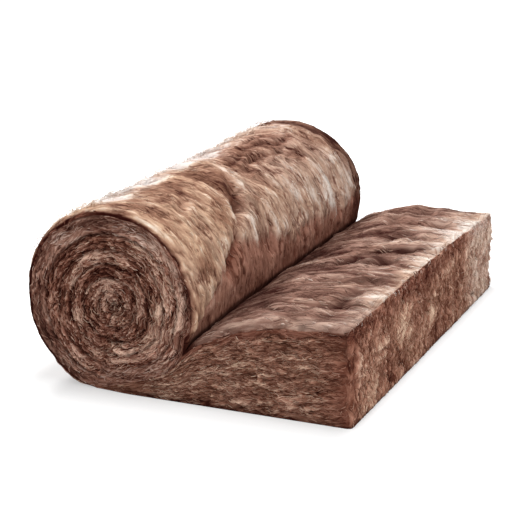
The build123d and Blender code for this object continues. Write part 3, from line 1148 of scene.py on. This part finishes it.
@dataclass(frozen=True)
class WoolFinish:
    """Matte wool whose colour follows the tone attribute and a streaky grain."""

    name: str
    bump: float
    streak: float
    stops: tuple = (0.0, 0.35, 0.65, 1.0)
    skin: tuple = ((72, 39, 32), (145, 107, 91), (197, 163, 142), (240, 226, 214))
    cut: tuple = ((46, 15, 10), (112, 71, 58), (170, 127, 110), (228, 202, 184))
    gold: tuple = (1.0, 0.98, 0.89)
    grey: tuple = (0.89, 0.93, 1.0)
    red: tuple = (1.0, 0.88, 0.84)
    # Colour of the shade painted into crevices
    gap: tuple = (40, 12, 8)
    wisp: float = 0.16
    slit: float = 0.40
    rough: float = 0.95
    gloss: float = 0.03
    bump_depth: float = 0.006

    def material(self) -> bpy.types.Material:
        """Builds the node material: ramps for skin and cut wool, reddened, then darkened by the shade
        painted into crevices.

        Returns:
            The material.
        """
        mat = bpy.data.materials.new(self.name)
        nodes = NodeBench.of(mat)
        tone = nodes.add("ShaderNodeAttribute", attribute_name="tone")
        parts = nodes.add("ShaderNodeSeparateColor")
        nodes.join(tone.outputs["Color"], parts.inputs[0])
        (shade, cut, gap), red = parts.outputs, tone.outputs["Alpha"]
        factor, height = shade, None
        # Streaky grain with pale wisps and dark slits, the slits' dark painted shade
        if self.streak:
            grain = nodes.add("ShaderNodeUVMap", uv_map="grain").outputs[0]
            place = nodes.add("ShaderNodeTexCoord").outputs["Object"]
            streaks = nodes.noise(grain, (38, 175, 1), 6.0, 0.66)
            clefts = nodes.noise(grain, (9, 90, 7), 2.0, 0.5)
            broken = nodes.noise(grain, (12, 34, 3), 2.0, 0.5)
            flecks = nodes.noise(place, (190, 190, 190), 4.0, 0.65)
            shares = [nodes.maths("MULTIPLY", *part) for part in ((streaks, 0.70), (flecks, 0.30))]
            mixed = nodes.maths("ADD", *shares)
            wisps = nodes.between(streaks, 0.56, 0.70, self.wisp)
            cleft = nodes.maths("ABSOLUTE", nodes.maths("SUBTRACT", clefts, 0.5), 0.0)
            line = nodes.between(cleft, 0.075, 0.015, self.slit)
            slits = nodes.maths("MULTIPLY", line, nodes.between(broken, 0.46, 0.60, 1.0))
            vary = nodes.maths("MULTIPLY", nodes.maths("SUBTRACT", mixed, 0.5), self.streak)
            vary = nodes.maths("SUBTRACT", nodes.maths("ADD", vary, wisps), slits)
            nap = nodes.add("ShaderNodeAttribute", attribute_name="nap").outputs["Fac"]
            factor = nodes.maths("ADD", shade, nodes.maths("MULTIPLY", vary, nap))
            height = nodes.maths("SUBTRACT", mixed, slits)
        colour = nodes.mix(cut, *(nodes.ramp(factor, self.stops, c) for c in (self.skin, self.cut)))
        tint = nodes.mix(red, (*self.gold, 1.0), nodes.mix(cut, (*self.grey, 1.0), (*self.red, 1.0)))
        colour = nodes.mix(1.0, colour, tint, "MULTIPLY")
        # Painted shade: the crevice channel mixes in a near-black red
        colour = nodes.mix(gap, colour, linear(*self.gap))
        shader = nodes.add("ShaderNodeBsdfPrincipled")
        shader.inputs["Roughness"].default_value = self.rough
        shader.inputs["Specular IOR Level"].default_value = self.gloss
        nodes.join(colour, shader.inputs["Base Color"])
        if height is not None:
            bump = nodes.add("ShaderNodeBump")
            bump.inputs["Strength"].default_value = self.bump
            bump.inputs["Distance"].default_value = self.bump_depth
            nodes.join(height, bump.inputs["Height"])
            nodes.join(bump.outputs[0], shader.inputs["Normal"])
        nodes.end(shader)
        return mat


@dataclass
class NodeBench:
    """Short ways to add and join nodes in one tree."""

    tree: bpy.types.NodeTree

    @classmethod
    def of(cls, owner: bpy.types.ID) -> "NodeBench":
        """Bench on the emptied tree of a material or a world.

        Args:
            owner: The material or world.

        Returns:
            The bench.
        """
        owner.use_nodes = True
        owner.node_tree.nodes.clear()
        return cls(owner.node_tree)

    def end(self, last: bpy.types.Node, kind: str = "ShaderNodeOutputMaterial") -> None:
        """Joins the last node to an output of a kind."""
        self.join(last.outputs[0], self.add(kind).inputs[0])

    def add(self, kind: str, **values: object) -> bpy.types.Node:
        """Adds a node and sets its plain properties.

        Args:
            kind: Type of the node.
            values: Its properties.

        Returns:
            The node.
        """
        node = self.tree.nodes.new(kind)
        for key, value in values.items():
            setattr(node, key, value)
        return node

    def join(self, source: bpy.types.NodeSocket, target: bpy.types.NodeSocket) -> None:
        """Links two sockets."""
        self.tree.links.new(source, target)

    def put(self, value: object, target: bpy.types.NodeSocket) -> None:
        """Links a socket, or sets a plain value.

        Args:
            value: A socket or a value.
            target: The input it goes to.
        """
        if isinstance(value, bpy.types.NodeSocket):
            self.join(value, target)
        else:
            target.default_value = value

    def maths(self, operation: str, first: object, second: object) -> bpy.types.NodeSocket:
        """Result of a two-value operation.

        Args:
            operation: Name of the operation.
            first: A socket or a number.
            second: Another.

        Returns:
            The result.
        """
        node = self.add("ShaderNodeMath", operation=operation)
        self.put(first, node.inputs[0])
        self.put(second, node.inputs[1])
        return node.outputs[0]

    def vector(
        self, operation: str, first: bpy.types.NodeSocket, second: tuple
    ) -> bpy.types.bpy_prop_collection:
        """Outputs of an operation on a vector and a plain one.

        Args:
            operation: Name of the operation.
            first: The vector.
            second: The plain vector.

        Returns:
            The outputs.
        """
        node = self.add("ShaderNodeVectorMath", operation=operation)
        self.join(first, node.inputs[0])
        node.inputs[1].default_value = second
        return node.outputs

    def noise(
        self, vector: bpy.types.NodeSocket, scale: tuple, detail: float, rough: float
    ) -> bpy.types.NodeSocket:
        """Noise stretched by a mapping.

        Args:
            vector: Coordinates.
            scale: Noise steps for each unit.
            detail: Finer layers.
            rough: Height of each finer layer.

        Returns:
            The noise, 0 to 1.
        """
        mapping = self.add("ShaderNodeMapping")
        mapping.inputs["Scale"].default_value = scale
        self.join(vector, mapping.inputs["Vector"])
        node = self.add("ShaderNodeTexNoise")
        for socket, number in (("Scale", 1.0), ("Detail", detail), ("Roughness", rough)):
            node.inputs[socket].default_value = number
        self.join(mapping.outputs[0], node.inputs["Vector"])
        return node.outputs["Fac"]

    def between(
        self, value: bpy.types.NodeSocket, low: float, high: float, most: float
    ) -> bpy.types.NodeSocket:
        """Smooth rise from 0 to the most as a value goes from low to high.

        Args:
            value: The value.
            low: Where the rise starts.
            high: Where it ends.
            most: Height at its end.

        Returns:
            The rise.
        """
        node = self.add("ShaderNodeMapRange", interpolation_type="SMOOTHSTEP")
        for socket, number in (("From Min", low), ("From Max", high), ("To Min", 0.0), ("To Max", most)):
            node.inputs[socket].default_value = number
        self.join(value, node.inputs["Value"])
        return node.outputs[0]

    def ramp(self, factor: bpy.types.NodeSocket, stops: tuple, colours: tuple) -> bpy.types.NodeSocket:
        """Colour ramp through display colours.

        Args:
            factor: Place on the ramp.
            stops: Places of the colours.
            colours: The colours, 8-bit.

        Returns:
            The colour.
        """
        node = self.add("ShaderNodeValToRGB")
        stock = node.color_ramp.elements
        while len(stock) < len(stops):
            stock.new(0.5)
        for element, place, colour in zip(stock, stops, colours, strict=True):
            element.position = place
            element.color = linear(*colour)
        self.join(factor, node.inputs[0])
        return node.outputs[0]

    def mix(self, factor: object, first: object, second: object, kind: str = "MIX") -> bpy.types.NodeSocket:
        """Mixes two colours.

        Args:
            factor: Share of the second.
            first: A socket or a colour.
            second: Another.
            kind: Way of mixing.

        Returns:
            The colour.
        """
        node = self.add("ShaderNodeMix", data_type="RGBA", blend_type=kind)
        self.put(factor, node.inputs[0])
        self.put(first, node.inputs[6])
        self.put(second, node.inputs[7])
        return node.outputs[2]


@dataclass
class Studio:
    """Pale floor, soft lamps and the camera; metres and degrees."""

    eye: tuple[float, float, float] = (1.6456, -4.0011, 1.4925)
    azimuth: float = 22.92
    elevation: float = 16.81
    focal_px: float = 1654.0
    image_px: float = 528.0
    sensor_mm: float = 36.0
    floor_half: float = 30.0

    @staticmethod
    def turned(data: bpy.types.ID, place: tuple, away: Array) -> bpy.types.Object:
        """New object for a camera or lamp, upright at a place and facing against a direction.

        Args:
            data: The camera or lamp.
            place: Its place.
            away: Direction from what it faces.

        Returns:
            The object, linked to the scene.
        """
        away = away / np.linalg.norm(away)
        right = np.cross((0.0, 0.0, 1.0), away)
        right = right / np.linalg.norm(right)
        turn = Matrix(np.column_stack((right, np.cross(away, right), away)).tolist()).to_4x4()
        thing = bpy.data.objects.new(data.name, data)
        thing.matrix_world = Matrix.Translation(place) @ turn
        bpy.context.collection.objects.link(thing)
        return thing

    def camera(self) -> None:
        """Camera looking along its azimuth and elevation, with no shift."""
        az, el = math.radians(self.azimuth), math.radians(self.elevation)
        data = bpy.data.cameras.new("camera")
        data.sensor_width = self.sensor_mm
        data.lens = self.sensor_mm * self.focal_px / self.image_px
        data.clip_end = 100.0
        away = np.array((math.sin(az) * math.cos(el), -math.cos(az) * math.cos(el), math.sin(el)))
        bpy.context.scene.camera = self.turned(data, self.eye, away)

    def lamp(self, name: str, place: tuple, aim: tuple, size: float, power: float) -> None:
        """Square area lamp aimed at a point.

        Args:
            name: Name of the lamp.
            place: Its place.
            aim: The point.
            size: Its side.
            power: Its power in watts.
        """
        data = bpy.data.lights.new(name, "AREA")
        data.size, data.energy = size, power
        self.turned(data, place, np.subtract(place, aim))

    def world(self) -> None:
        """White to the camera, softer as a light."""
        world = bpy.data.worlds.new("studio")
        nodes = NodeBench.of(world)
        path = nodes.add("ShaderNodeLightPath").outputs
        seen = nodes.maths("MAXIMUM", path["Is Camera Ray"], path["Is Glossy Ray"])
        back = nodes.add("ShaderNodeBackground")
        nodes.join(nodes.maths("ADD", nodes.maths("MULTIPLY", seen, 0.60), 0.40), back.inputs["Strength"])
        nodes.end(back, "ShaderNodeOutputWorld")
        bpy.context.scene.world = world

    def floor(self) -> None:
        """Wide pale floor that looks white where it is lit and keeps the shadow."""
        mesh = bpy.data.meshes.new("floor")
        s = self.floor_half
        mesh.from_pydata([(-s, -s, 0), (s, -s, 0), (s, s, 0), (-s, s, 0)], [], [(0, 1, 2, 3)])
        mat = bpy.data.materials.new("pale_floor")
        nodes = NodeBench.of(mat)
        seen = nodes.add("ShaderNodeLightPath").outputs["Is Camera Ray"]
        matte, glow = nodes.add("ShaderNodeBsdfDiffuse"), nodes.add("ShaderNodeEmission")
        pale = nodes.maths("SUBTRACT", 0.86, nodes.maths("MULTIPLY", seen, 0.40))
        nodes.join(pale, matte.inputs["Color"])
        # A glow that comes in beyond the shadow round the object
        none, shadow, near_x = (0.0, 0.0, 0.0), (0.40, 0.59, 0.0), (2.2, 1.0, 1.0)
        beyond = nodes.add("ShaderNodeTexCoord").outputs["Object"]
        for step, by in (("ABSOLUTE", none), ("SUBTRACT", shadow), ("MAXIMUM", none), ("MULTIPLY", near_x)):
            beyond = nodes.vector(step, beyond, by)[0]
        away = nodes.vector("LENGTH", beyond, none)["Value"]
        rise = nodes.maths("ADD", nodes.between(away, 0.0, 0.30, 0.55), 0.42)
        nodes.join(nodes.maths("MULTIPLY", seen, rise), glow.inputs["Strength"])
        both = nodes.add("ShaderNodeAddShader")
        for source, target in zip((matte, glow), both.inputs, strict=True):
            nodes.join(source.outputs[0], target)
        nodes.end(both)
        mesh.materials.append(mat)
        floor = bpy.data.objects.new("floor", mesh)
        bpy.context.collection.objects.link(floor)

    def build(self) -> None:
        """Sets camera, lamps, world and floor."""
        bpy.context.scene.view_settings.view_transform = "Standard"
        self.camera()
        self.world()
        self.floor()
        self.lamp("key", (-1.9, 1.5, 2.5), (0.0, 0.0, 0.25), 1.1, 115.0)
        self.lamp("top", (0.5, -0.4, 3.2), (0.0, 0.0, 0.2), 0.9, 44.0)
        self.lamp("right", (3.0, -1.4, 1.9), (0.3, 0.0, 0.1), 1.4, 50.0)
        self.lamp("front", (-0.4, -3.8, 2.0), (-0.1, -0.6, 0.2), 2.0, 30.0)


def fibre_coats(body: WoolBody) -> list[FibreCoat]:
    """Coats of loose fibres for each face of the blanket.

    Args:
        body: The built body.

    Returns:
        The coats, not yet meshed.
    """
    roll = body.skin.part(6, body.roll_cols - 4)
    crown = body.skin.part(62, 92)
    top = body.skin.part(body.roll_cols + 2, body.roll_cols + body.top_cols)
    cut = body.skin.part(body.roll_cols + body.top_cols - 3, body.skin.place.shape[0])
    thick, thin = (0.0009, 0.0019), (0.0005, 0.0011)
    turns = Sowing(6400, (0.010, 0.034), (0.0009, 0.0020), flat=1.5, spread=12, wave=26, shade=(-0.34, 0.32))
    tufts = Sowing(4300, (0.012, 0.034), thick, flat=1.5, spread=11, bend=26, wave=26)
    nap = Sowing(8200, (0.008, 0.022), thick, spread=30, bend=40, wave=35, points=4)
    skin = {"lift": (0.0, 0.003), "shade": (-0.16, 0.18)}
    strands = Sowing(6600, (0.010, 0.044), thin, heading=4, spread=16, wave=24, **skin)
    felt = Sowing(4600, (0.010, 0.040), thin, spread=18, wave=26, **skin)
    low = {"lift": (0.0, 0.001), "wave": 16}
    flake = {"flat": 3.0, "heading": 3, "spread": 18, "bend": 22, "shade": (-0.18, 0.18)}
    flakes = Sowing(2400, (0.008, 0.022), (0.0010, 0.0018), **flake, **low)
    wad = {"flat": 4.5, "spread": 12, "bend": 18, "shade": (-0.16, 0.20)}
    wads = Sowing(1500, (0.014, 0.050), (0.0008, 0.0014), **wad, **low)
    # Frays stand out over the crown; their pale tone is painted highlight, like the crown's
    loose = {"heading": 40, "spread": 50, "bend": 50, "shade": (0.05, 0.3), "points": 6}
    frays = Sowing(1300, (0.012, 0.036), (0.0010, 0.0022), (0.003, 0.015), **loose)
    near, away = (0.0, -1.0, 0.0), (0.0, 1.0, 0.0)
    round_out = roll.place - np.array((body.axis_x, 0.0, body.axis_z))
    round_out[..., 1] = 0.0
    over = [(strands, roll, round_out, 6), (flakes, roll, round_out, 16)]
    over.append((frays, crown, (-0.5, 0.0, 0.8), 18))
    return [
        FibreCoat("near_end_fibres", [(turns, body.discs[0], near, 1), (tufts, body.sides[0], near, 2)]),
        FibreCoat("far_end_fibres", [(turns, body.discs[1], away, 3), (tufts, body.sides[1], away, 4)]),
        FibreCoat("cut_end_fibres", [(nap, cut, (1.0, 0.0, 0.0), 5)]),
        FibreCoat("roll_skin_fibres", over),
        FibreCoat("top_skin_fibres", [(felt, top, (0.0, 0.0, 1.0), 7), (wads, top, (0.0, 0.0, 1.0), 17)]),
    ]


def main() -> None:
    """Builds the studio, the wool body and its fibre coats."""
    logging.basicConfig(level=logging.INFO, format="%(name)s: %(message)s")
    Studio().build()
    body = WoolBody()
    body.build()
    wool = WoolFinish("brown_wool", bump=0.55, streak=0.75).material()
    fibre = WoolFinish("loose_fibre", bump=0.0, streak=0.0).material()
    blanket = body.mesh("wool_body", wool)
    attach(blanket, "root")
    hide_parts("wool_blanket")
    for coat in fibre_coats(body):
        piece = coat.mesh(fibre)
        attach(piece, "root")


if __name__ == "__main__":
    main()
